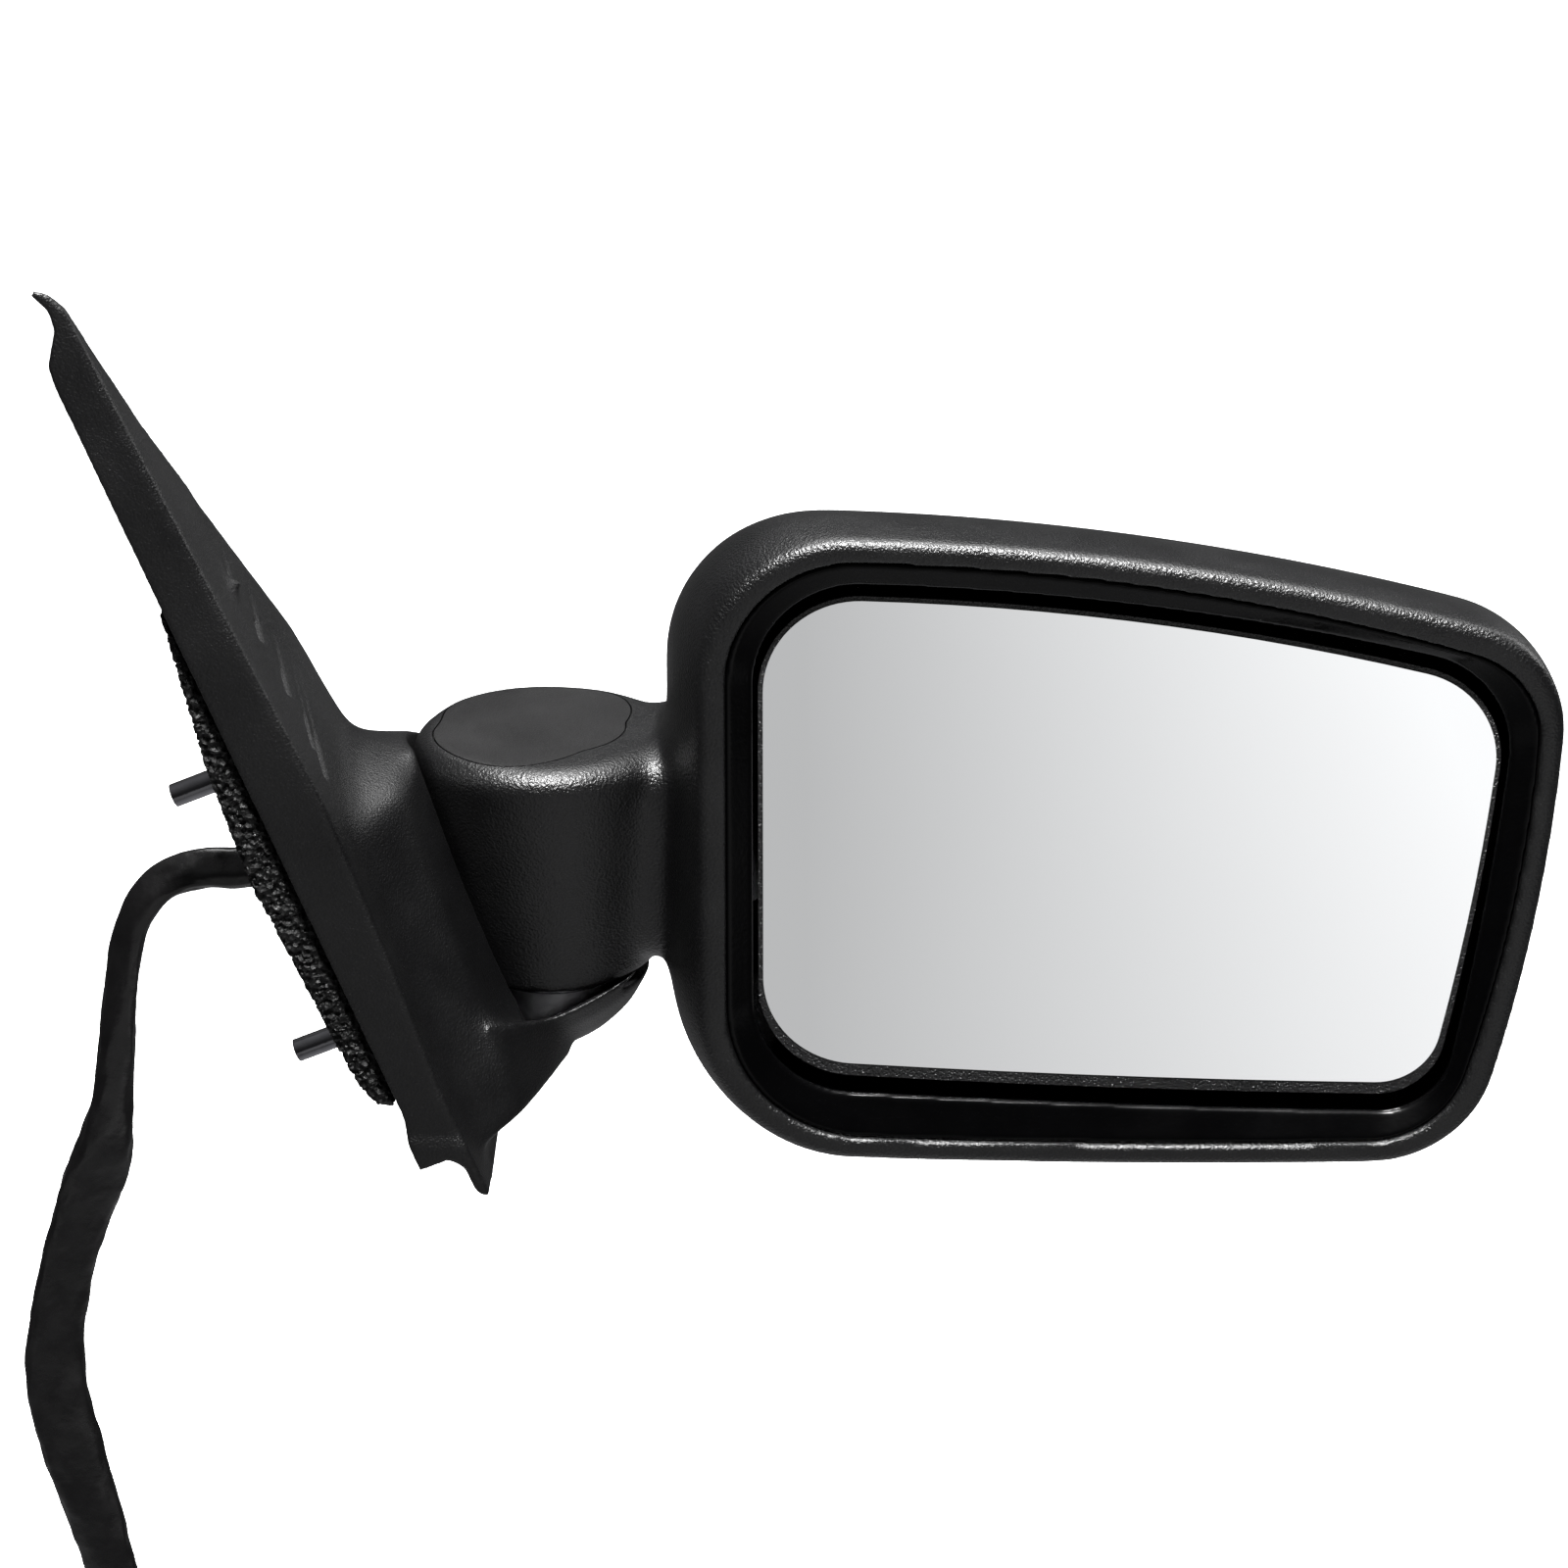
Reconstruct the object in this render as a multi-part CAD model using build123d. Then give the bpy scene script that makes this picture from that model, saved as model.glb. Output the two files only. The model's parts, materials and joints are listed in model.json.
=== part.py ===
from build123d import *
import os
from math import cos, pi, radians, sin, tan

# Right-hand door mirror, millimetres. +X outboard, +Y towards the front of the car, +Z up.
# Origin: axis of the upper door stud where it crosses the door's mounting plane.

# ---------------------------------------------------------------- door side
LEAN = 22.0                      # door plane leans in at the top, degrees from vertical
N = Vector(cos(radians(LEAN)), 0, sin(radians(LEAN)))
DOOR = Plane(origin=(0, 0, 0), x_dir=(0, 1, 0), z_dir=N)    # local x = forward, y = up the slope, z = outboard
SAIL_REAR = -26.0                # rear edge, along Y
SAIL_LOW = -115.0                # drawn down to here along the slope, then cut level
SAIL_BOTTOM_Z = -95.0            # level bottom edge
SAIL_TOP = 137.0
# Rear edge seen end on: off the door, up the slope. Widest near the boss, slimmer at both ends.
SAIL_FOOT, SAIL_WAIST, SAIL_HEAD = (12.0, -88.0), (16.0, -8.0), (10.3, 128.0)
SAIL_BOWS = [(14.4, -50), (13.0, 60)]      # off the door and up the slope, where its face bows out
SAIL_HOOK = [SAIL_HEAD, (8.6, 132.5), (5.6, 135.2), (4.2, 134.2), (6.4, 129.5), (5.8, 124.5), (0.6, 117),
             (0, 112)]
COVER_WALL = 2.5
SAIL_OUTLINE = [(SAIL_REAR, SAIL_LOW), (82, SAIL_LOW), (78, -80), (43, -16), (37, 12), (-10, 93),
                (-23, 128), (-25.5, SAIL_TOP), (SAIL_REAR, SAIL_TOP)]
SAIL_INNER = [(SAIL_REAR + COVER_WALL, SAIL_LOW), (79, SAIL_LOW), (75, -80), (40, -15), (34, 11), (-12, 90),
              (-20, 108), (SAIL_REAR + COVER_WALL, 108)]
TAIL_END = -120.0                # sealing lip below the bottom edge
TAIL_THICK = 2.6
# Boss wall sections across the slope: forward, off the door; the second is at the foot.
BOSS_FORE = 78.0                 # forward end of the boss
BOSS_PLAN = [(SAIL_REAR, 0), (SAIL_REAR, 14.5), (-8, 17.5), (11, 29), (22, 30.8), (64, 30.8),
             (BOSS_FORE, 8), (BOSS_FORE, 0)]
BOSS_FOOT = [(SAIL_REAR, 0), (SAIL_REAR, 10.5), (-18, 12.5), (-6, 23.5), (16, 31), (64, 31),
             (BOSS_FORE, 8), (BOSS_FORE, 0)]
BOSS_RAMP_END = 20.0             # rear of this the wall's inside follows the ramp
RAMP_SHIFT = 0.6                 # how far the ramp's inside moves forward per millimetre of wall
BOSS_LOW, BOSS_HIGH = -111.0, 16.0       # up the slope
BOSS_CROWN = [(-40, -27), (0, -11), (36, -6), (60, -16), (84, -40)]      # Y, Z of the boss's top
TRAY_TOP = -95.5                 # plane of the tray's lip, square to the door
TRAY_R = 29.3
TRAY_REACH = 36.7                # tray centre, outboard of the door plane
TRAY_CEILING = -64.5             # the lip stays below the neck
TRAY_STEPS = [(0, 0), (5.5, 4.0), (11.5, 11.0), (15.5, 19.0)]    # depth below the lip, then draw inwards
TRAY_RECESS_R, TRAY_RECESS = 26.4, 3.0
TRAY_RECESS_HIGH = 12.0          # the recess is open this far above its floor
# Apron between the ramp and the tray's lip: forward and outboard places at its top and at its foot.
APRON_TOP = [(-6.5, 24.5), (0, 31), (6.5, 38), (11.5, 46), (20, 50), (20, 20)]
APRON_FOOT = [(-6, 23.5), (2, 27.5), (10, 31), (18, 34), (22, 36), (22, 20)]
APRON_HIGH = -82.0
APRON_RIM = [(-12, -80.2), (14, -96.7)]      # forward place and height up the slope along its sloping rim
# Flutes on the sail's face: lower rear end (forward, up the slope) and length.
FLUTES = [(-5.2, 46.5, 12), (-4.5, 30, 19), (-5.5, 15, 24), (-8, 0.5, 32), (-11, -7, 38)]
FLUTE_TURN = 42.0                # degrees up from forward
FLUTE_R = 2.2
FLUTE_DEEP = 1.5

STUD_R = 3.0
STUD_ROOT_R = 3.3                # pressed into the bracket
STUD_OUT = 24.0
STUD_PLACES = [(0, 0), (0, -75), (48, -72)]
STUD_HEAD_R = 6.0
GASKET_OUTLINE = [(-22, -92), (-22, 51), (-14, 51), (2, 42), (34, -6), (56, -44), (66, -92)]
# Free side of the gasket seen end on: off the door, up the slope.
GASKET_BACK = [(-1.6, 51), (-3.0, 42), (-8.0, 10), (-10.6, -22), (-9.2, -47), (-8.6, -70), (-7.8, -82),
               (-5.6, -88.5), (-2.2, -90)]
GASKET_SEAT = -0.8
PLATE_OUTLINE = [(-17, -87), (-17, 36), (-4, 36), (28, -12), (50, -48), (60, -87)]
GROMMET_PLACE = (20, -32)
GROMMET_R = 9.0
PLATE_BOTTOM = 1.0
PLATE_THICK = 5.0
BASE_SCREW_PLACES = [(-10, 24), (44, -42), (-8, -52)]
POST_TOP = 12.5                  # screw posts of the cover, off the door

# ---------------------------------------------------------------- pivot
PX, PY = 69.5, 40.0              # vertical fold axis
KNUCKLE_TOP, KNUCKLE_BOTTOM = -5.5, -69.0
KNUCKLE_R_TOP, KNUCKLE_R_BOTTOM = 36.0, 26.0
KNUCKLE_EDGE = 6.0
KNUCKLE_WALL = 3.0
KNUCKLE_GAP = 1.0                # running gap to the recess in the boss
TUBE_R, TUBE_BORE = 9.0, 6.5
TUBE_TOP, TUBE_BOTTOM = -14.0, -84.0
PEDESTAL_R = 17.0
PEDESTAL_TOP = -73.0
TRAY_FLOOR = TRAY_TOP - TRAY_RECESS - COVER_WALL     # underside of the tray's dish, down the slope
# Cast foot from the plate to the pedestal, under the tray's dish: off the door, up the slope.
FOOT = [(1, -80), (1, -103.2), (7, -104.8), (13, -108), (35, -108), (35, TRAY_FLOOR - 0.3),
        (7.6, TRAY_FLOOR - 0.3), (7.6, -80)]
FOOT_WIDTH = 20.0
RING_R = 16.5
HUB_BOTTOM, HUB_TOP, HUB_R = -61.0, -31.0, 17.0
BUSH_R = 11.5
BUSH_GAP = 0.05                  # running gap between bush and tube
# Pivot cap: a rounded pick shape, wide at the door side, tip pointing to the head.
CAP_EDGE = [(40.5, 40), (46.5, 20), (61, 11.5), (75, 18.5), (84.5, 33), (90, 51), (86, 64), (71, 71),
            (53.5, 68), (43, 56)]
CAP_HALF = 25.0                  # half its width, to grow it evenly
CAP_THICK = 2.4

# ---------------------------------------------------------------- head
# Lip outline, X and Z of the sharp corners, clockwise from top left; bulge and corner radius each.
LIP = [(109.0, 57.5), (324.0, 28.5), (304.5, -110.5), (109.0, -108.0)]
LIP_BULGE = [9.0, 5.5, 2.0, 0.0]
LIP_RADII = [38.0, 30.0, 32.0, 42.0]
LIP_WIDTH = 6.2
LIP_ROUND = 2.4
# Shell sections: Y, then how far the left, right, top and bottom sides move inwards from the lip.
SECTIONS = [(0, 0, 0, 0, 0), (24, -8.5, 1, 0.5, 2), (50, -8, 9, 9, 11), (72, -2, 30, 26, 28),
            (86, 14, 68, 44, 46)]
SHELL_WALL = 2.6
NECK_LOW_Y, NECK_HIGH_Y = (22.0, 64.0), (15.0, 68.0)     # the neck is wider at its top
NECK_Z = (-63.0, -6.5)
NECK_END = 112.0
OPENING_GROW = (2.5, 2.6, 5.6, 6.4)      # bezel opening beyond the glass: left, right, top, bottom
BEZEL_EDGE_Y = 4.6
BEZEL_DEPTH = 14.0

GLASS = [(124.5, 39.5), (309.5, 15.0), (295.0, -91.5), (124.5, -84.5)]
GLASS_BULGE = [6.5, 2.2, 1.3, 0.0]
GLASS_RADII = [24.0, 24.0, 16.0, 24.0]
HOLDER_GROW = (1.2, 1.2, 1.2, 3.4)       # left, right, top, bottom
GLASS_Y, GLASS_THICK, HEATER_THICK, HOLDER_THICK = 8.5, 2.2, 0.8, 3.0
GX, GZ = 215.0, -27.0            # glass swivel centre
SWIVEL_Y = 25.0
ARM = 30.0                       # plunger distance from the swivel
RING_OUT, RING_IN = 15.5, 11.5
TRUNNION_R = 2.0
RUN_GAP = 0.06
CASE_X = (-59.0, 40.0)
CASE_Z = (-59.0, 40.0)
CASE_Y = (36.0, 60.0)
CASE_WALL = 2.0
ROD_R, BALL_R = 2.4, 3.2
CUP_R_IN, CUP_R_OUT = 4.1, 5.6
GEAR_R, GEAR_TEETH, GEAR_Y = 12.0, 24, (44.0, 50.0)
ROD_LENGTH = 30.0
WORM_R, WORM_LENGTH = 3.6, 16.0
MOTOR_R, MOTOR_LENGTH = 8.5, 17.0
MOTOR_OFF = 2.5                  # between worm and motor
SCREW_R, SCREW_HEAD_R = 2.0, 3.8

# ---------------------------------------------------------------- harness
SLEEVE_R = 6.0
EXIT_OFF = -7.0                  # the sleeve leaves the grommet this far on the door side
ROUTE = [(5.5, 20, -32.3), (-6, 20, -37), (-20, 20, -36), (-31.5, 20, -41), (-38.5, 19.5, -53),
         (-41.5, 19, -71), (-43.5, 18.5, -92), (-47, 18, -114), (-55, 18, -135), (-61.5, 18, -157),
         (-65, 18.5, -181), (-61, 19, -205), (-55, 20, -229), (-51, 21, -254), (-53, 22, -279),
         (-57, 22, -303)]
PLUG = (24.0, 15.0, 26.0)
TAPE = 14.0                      # tape wrap between sleeve and plug
PIN_ROWS, PIN_COLUMNS = 2, 4
LATCH_PIVOT = TAPE + 10.0        # along the plug
LATCH_LIFT, LATCH_PIN_R = 1.8, 0.8


def sharp(points, bulges):
    """Closed wire of four slightly bowed sides in the XZ plane."""
    edges = []
    count = len(points)
    for i, bulge in enumerate(bulges):
        a = Vector(points[i][0], points[i][1])
        b = Vector(points[(i + 1) % count][0], points[(i + 1) % count][1])
        if bulge == 0:
            edges.append(Line(a, b))
            continue
        along = (b - a).normalized()
        out = Vector(-along.Y, along.X)
        edges.append(ThreePointArc(a, (a + b) * 0.5 + out * bulge, b))
    return Wire(edges)


def rounded(points, bulges, radii, y):
    """Face of that outline with round corners, at depth y."""
    face = make_face(sharp(points, bulges))
    for corner, radius in zip(points, radii):
        near = face.vertices().sort_by_distance((corner[0], corner[1], 0))[0]
        face = fillet(near, radius)
    face = face.face()
    return (Plane(origin=(0, y, 0), x_dir=(1, 0, 0), z_dir=(0, -1, 0)) * face).face()


def moved_in(points, left, right, top, bottom):
    tl, tr, br, bl = points
    return [(tl[0] + left, tl[1] - top), (tr[0] - right, tr[1] - top),
            (br[0] - right, br[1] + bottom), (bl[0] + left, bl[1] + bottom)]


def lip_face(inset, y):
    radii = [max(r - inset, 6) for r in LIP_RADII]
    return rounded(moved_in(LIP, inset, inset, inset, inset), LIP_BULGE, radii, y)


def shell_face(section, inset):
    y, left, right, top, bottom = section
    shrink = inset + max(0, max(top, bottom) - 10) * 0.2
    points = moved_in(LIP, left + inset, right + inset, top + inset, bottom + inset)
    return rounded(points, LIP_BULGE, [max(r - shrink, 10) for r in LIP_RADII], y)


def glass_face(grow, y):
    points = moved_in(GLASS, -grow[0], -grow[1], -grow[2], -grow[3])
    return rounded(points, GLASS_BULGE, [r + grow[0] for r in GLASS_RADII], y)


def push(face, y0, y1):
    """Solid of a face drawn at any depth, from y0 to y1."""
    here = face.center().Y
    return extrude(Pos(0, y0 - here, 0) * face, amount=y1 - y0, dir=(0, 1, 0))


def rod(radius, start, direction, length):
    """Cylinder from a start point along a direction."""
    return Plane(origin=start, z_dir=direction) * extrude(Circle(radius), length)


def upright(radius, z0, z1, x=PX, y=PY):
    return rod(radius, (x, y, z0), (0, 0, 1), z1 - z0)


def block(x, y, z):
    """Box between two values on each axis."""
    centre = ((x[0] + x[1]) / 2, (y[0] + y[1]) / 2, (z[0] + z[1]) / 2)
    return Pos(*centre) * Box(x[1] - x[0], y[1] - y[0], z[1] - z[0])


def on_door(place, off=0):
    """Row point of a place on the door plane, raised off it."""
    return DOOR.from_local_coords(Vector(place[0], place[1], off))


def door_slab(points, low, high, radius=0):
    """Prism on the door plane with round corners."""
    face = make_face(Polyline(*points, close=True))
    if radius:
        face = fillet(face.vertices(), radius)
    return DOOR * (Pos(0, 0, low) * extrude(face, high - low))


# ================================================================ door base
def sail_profile(inset):
    """Edge-on section of the sail: a straight back, a bowed face and a hook at the top."""
    foot, waist, head = [(x - inset, y) for x, y in (SAIL_FOOT, SAIL_WAIST, SAIL_HEAD)]
    bow_low, bow_high = [(x - inset, y) for x, y in SAIL_BOWS]
    foot_line = Line((foot[0], SAIL_LOW), foot)
    face = [foot_line, ThreePointArc(foot, bow_low, waist), ThreePointArc(waist, bow_high, head)]
    if inset:
        behind = -30
        rest = Polyline(head, (behind, head[1]), (behind, SAIL_LOW), (foot[0], SAIL_LOW))
    else:
        rest = Polyline(*SAIL_HOOK, (0, SAIL_LOW), (foot[0], SAIL_LOW))
    side = Plane(origin=(0, 0, 0), x_dir=N, z_dir=(0, -1, 0))
    return side * make_face(Wire([*face, *rest.edges()]))


def sail_solid(inset):
    body = extrude(sail_profile(inset), 60) + extrude(sail_profile(inset), -120)
    outline = make_face(Polyline(*(SAIL_INNER if inset else SAIL_OUTLINE), close=True))
    body &= DOOR * (Pos(0, 0, -40) * extrude(outline, 80))
    return body - block((-60, 200), (-60, 140), (-200, SAIL_BOTTOM_Z + inset))


def boss_section(points, low):
    """Face of a boss wall section at a place on the slope."""
    plane = Plane(origin=on_door((0, low)), x_dir=(0, 1, 0), z_dir=(-N.Z, 0, N.X))
    # seen from above the slope, the local y axis points towards the door
    return plane * make_face(Polyline(*[(x, -y) for x, y in points], close=True))


def boss_solid(inset):
    """Ramped wall that carries the pivot, crowned at the top."""
    plans = []
    for points in (BOSS_PLAN, BOSS_FOOT):
        moved = []
        for x, y in points:
            forward = min(max(x, SAIL_REAR + inset), BOSS_FORE - inset)
            shift = inset * RAMP_SHIFT if x < BOSS_RAMP_END else 0
            moved.append((forward + shift, max(y - inset, 0)))
        plans.append(moved)
    low, high = boss_section(plans[1], BOSS_LOW + inset), boss_section(plans[0], BOSS_HIGH)
    wall = loft([low, high], ruled=True)
    crown = Spline(*[(y, z - inset) for y, z in BOSS_CROWN])
    first, last = crown @ 0, crown @ 1
    below = Polyline(last, (last.X, -160), (first.X, -160), first)
    side = Plane(origin=(-60, 0, 0), x_dir=(0, 1, 0), z_dir=(1, 0, 0))
    return wall & extrude(side * make_face(Wire([*crown.edges(), *below.edges()])), 220)


def tray_solid(inset):
    """Bowl below the pivot, drawn square to the door plane."""
    sections = []
    for depth, draw in TRAY_STEPS:
        down = depth if inset == 0 else inset + depth * (TRAY_STEPS[-1][0] - 2 * inset) / TRAY_STEPS[-1][0]
        radius = TRAY_R - draw - inset
        plan = Plane(origin=on_door((PY, TRAY_TOP - down)), x_dir=(0, 1, 0), z_dir=(N.Z, 0, -N.X))
        shape = Rectangle(2 * radius, TRAY_REACH, align=(Align.CENTER, Align.MIN))
        shape += Pos(0, TRAY_REACH) * Circle(radius)
        sections.append((plan * shape).face())
    bowl = Compound(children=[loft(pair, ruled=True) for pair in zip(sections, sections[1:])])
    return fuse_all(bowl.solids()) - block((-60, 200), (-60, 140), (TRAY_CEILING, 100))


def apron_solid():
    """Fills the corner between the ramp and the tray, up to a rim that runs into the tray's lip."""
    body = loft([boss_section(APRON_FOOT, BOSS_LOW), boss_section(APRON_TOP, APRON_HIGH)], ruled=True)
    (rear, high), (fore, low) = APRON_RIM
    below = [(rear, high), (fore, low), (60, low), (60, -140), (rear, -140)]
    return body & door_slab(below, 0, 90)


def fuse_all(solids):
    total = solids[0]
    for solid in solids[1:]:
        total += solid
    return total


def knuckle_solid(grow=0.0, above=0.0):
    """Tapered barrel on the fold axis, with a straight stretch above it where it cuts a recess."""
    low = KNUCKLE_BOTTOM - grow
    wide = KNUCKLE_R_TOP + grow
    half = [(0, KNUCKLE_TOP), (wide, KNUCKLE_TOP), (KNUCKLE_R_BOTTOM + grow, low), (0, low)]
    plane = Plane(origin=(PX, PY, 0), x_dir=(1, 0, 0), z_dir=(0, -1, 0))
    barrel = revolve(plane * make_face(Polyline(*half, close=True)), axis=Axis((PX, PY, 0), (0, 0, 1)))
    if above:
        barrel += upright(wide, KNUCKLE_TOP, KNUCKLE_TOP + above)
    return barrel


def face_at(b):
    """How far the sail's face stands off the door at a place up the slope."""
    (foot, low), (waist, mid), (head, high) = SAIL_FOOT, SAIL_WAIST, SAIL_HEAD
    if b < mid:
        return foot + (waist - foot) * (b - low) / (mid - low)
    return waist + (head - waist) * (b - mid) / (high - mid)


def flute(c, b, length):
    """Groove that is deepest at its lower rear end and fades out forwards and upwards."""
    turn = radians(FLUTE_TURN)
    far = (c + length * cos(turn), b + length * sin(turn))
    low = on_door((c, b), face_at(b) + FLUTE_R - FLUTE_DEEP)
    high = on_door(far, face_at(far[1]) + FLUTE_R)
    return rod(FLUTE_R, low, high - low, length) + Pos(*low) * Sphere(FLUTE_R)


def sail_cover():
    outer = sail_solid(0) + boss_solid(0) + tray_solid(0) + apron_solid()
    tail_face = SAIL_FOOT[0]
    tail = door_slab([(SAIL_REAR, TAIL_END), (66, TAIL_END), (66, -107), (SAIL_REAR, -107)],
                     tail_face - TAIL_THICK, tail_face)
    hollow = sail_solid(COVER_WALL) + boss_solid(COVER_WALL) + tray_solid(COVER_WALL)
    hollow -= knuckle_solid(KNUCKLE_GAP + COVER_WALL, 20)
    hollow -= tray_recess(COVER_WALL)
    cover = outer + tail - hollow - knuckle_solid(KNUCKLE_GAP, 20) - tray_recess(0)
    cover -= upright(PEDESTAL_R + 0.5, -96, -60) & above_floor()
    for place in FLUTES:
        cover -= flute(*place)
    for place in BASE_SCREW_PLACES:
        post = rod(4.2, on_door(place, PLATE_BOTTOM + PLATE_THICK), N, POST_TOP - PLATE_BOTTOM - PLATE_THICK)
        cover += post - rod(SCREW_R, on_door(place, 0), N, 11.5)
    return largest(cover)


def tray_recess(grow):
    """Shallow dish inside the tray's lip, so that the knuckle stands in shadow."""
    plan = Plane(origin=on_door((PY, TRAY_TOP - TRAY_RECESS - grow)), x_dir=(0, 1, 0), z_dir=(-N.Z, 0, N.X))
    keep = plan * (Pos(0, -TRAY_REACH) * extrude(Circle(TRAY_RECESS_R + grow), TRAY_RECESS_HIGH))
    return keep & upright(TRAY_RECESS_R + grow, -100, -60)


def largest(shape):
    solids = shape.solids().sort_by(SortBy.VOLUME)
    return solids[-1]


def above_floor():
    """Everything above the underside of the tray's dish."""
    return DOOR * (Pos(0, TRAY_FLOOR - 0.3 + 60, 0) * Box(300, 120, 300))


def base_bracket():
    outline = fillet(make_face(Polyline(*PLATE_OUTLINE, close=True)).vertices(), 5)
    plate = DOOR * (Pos(0, 0, PLATE_BOTTOM) * extrude(outline, PLATE_THICK))
    side = Plane(origin=(0, PY + FOOT_WIDTH / 2, 0), x_dir=N, z_dir=(0, -1, 0))
    foot = extrude(side * make_face(Polyline(*FOOT, close=True)), FOOT_WIDTH)
    column = upright(PEDESTAL_R, -96, PEDESTAL_TOP)
    pedestal = (column & above_floor()) + (column & tray_solid(COVER_WALL + 0.4))
    body = plate + foot + pedestal
    body -= upright(TUBE_R, TUBE_BOTTOM, PEDESTAL_TOP + 1)
    for place in STUD_PLACES:
        body -= rod(STUD_ROOT_R, on_door(place, -1), N, 20)
        body -= rod(STUD_HEAD_R, on_door(place, PLATE_BOTTOM + PLATE_THICK - 2), N, 20)
    for place in BASE_SCREW_PLACES:
        body -= rod(SCREW_R, on_door(place, -1), N, 12)
        body -= rod(SCREW_HEAD_R, on_door(place, -5), N, PLATE_BOTTOM + 2 + 5)
    body -= rod(GROMMET_R - 1.5, on_door(GROMMET_PLACE, -2), N, 12)
    return largest(body)


def mounting_studs():
    studs = []
    for place in STUD_PLACES:
        shank = rod(STUD_R, on_door(place, -STUD_OUT), N, STUD_OUT + PLATE_BOTTOM)
        root = rod(STUD_ROOT_R, on_door(place, PLATE_BOTTOM), N, PLATE_THICK - 2)
        head = rod(STUD_HEAD_R, on_door(place, PLATE_BOTTOM + PLATE_THICK - 2), N, 2.4)
        studs.append((shank + root + head).solid())
    return Compound(children=studs)


def base_screws():
    screws = []
    for place in BASE_SCREW_PLACES:
        shank = rod(SCREW_R, on_door(place, PLATE_BOTTOM + 2), N, 8)
        head = rod(SCREW_HEAD_R, on_door(place, PLATE_BOTTOM - 0.4), N, 2.4)
        screws.append((shank + head).solid())
    return Compound(children=screws)


def foam_gasket():
    side = Plane(origin=(0, SAIL_REAR - 4, 0), x_dir=N, z_dir=(0, -1, 0))
    front = [(GASKET_SEAT, GASKET_BACK[-1][1]), (GASKET_SEAT, GASKET_BACK[0][1])]
    profile = side * make_face(Polyline(*GASKET_BACK, *front, close=True))
    pad = door_slab(GASKET_OUTLINE, -20, GASKET_SEAT) & extrude(profile, -110)
    for place in STUD_PLACES:
        pad -= rod(STUD_R + 1.2, on_door(place, -20), N, 25)
    pad -= rod(GROMMET_R + 1, on_door(GROMMET_PLACE, -20), N, 25)
    return largest(pad)


def harness_grommet():
    """Rubber grommet in the plate; the sleeve leaves through its neck."""
    flange = rod(GROMMET_R, on_door(GROMMET_PLACE, EXIT_OFF), N, PLATE_BOTTOM - EXIT_OFF)
    neck = rod(GROMMET_R - 1.5, on_door(GROMMET_PLACE, PLATE_BOTTOM), N, PLATE_THICK)
    return largest(flange + neck - rod(SLEEVE_R - 1.5, on_door(GROMMET_PLACE, -10), N, 30))


# ================================================================ pivot
def pivot_tube():
    return upright(TUBE_R, TUBE_BOTTOM, TUBE_TOP) - upright(TUBE_BORE, TUBE_BOTTOM - 1, TUBE_TOP + 1)


def detent_ring(z0, z1, radius, bore, teeth_z=0.0):
    ring = upright(radius, z0, z1) - upright(bore, z0 - 1, z1 + 1)
    for k in range(3):
        angle = radians(120 * k)
        x, y = PX + 13 * cos(angle), PY + 13 * sin(angle)
        if teeth_z:
            ring += upright(2.2, z1 - 0.5, z1 + teeth_z, x, y)
        else:
            ring -= upright(2.8, z0 - 1, z0 + 1.2, x, y)
    return ring


def fold_spring():
    """Closed-end compression spring between the hub and the lock ring."""
    turns, pitch, wire, radius = 3, 3.2, 1.1, 13.0
    path = Pos(PX, PY, HUB_TOP + 2.3) * Helix(pitch, pitch * turns, radius)
    start = Plane(origin=path @ 0, z_dir=path % 0)
    return sweep(start * Circle(wire), path=path, is_frenet=True)


# ================================================================ head
def arm_solid(inset):
    low, high = NECK_LOW_Y, NECK_HIGH_Y
    bottom, top = NECK_Z[0] + inset, NECK_Z[1] - inset
    profile = Polyline((low[0] + inset, bottom), (low[1] - inset, bottom), (high[1] - inset, top),
                       (high[0] + inset, top), close=True)
    side = Plane(origin=(PX, 0, 0), x_dir=(0, 1, 0), z_dir=(1, 0, 0))
    return extrude(side * make_face(profile), NECK_END - PX)


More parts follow.
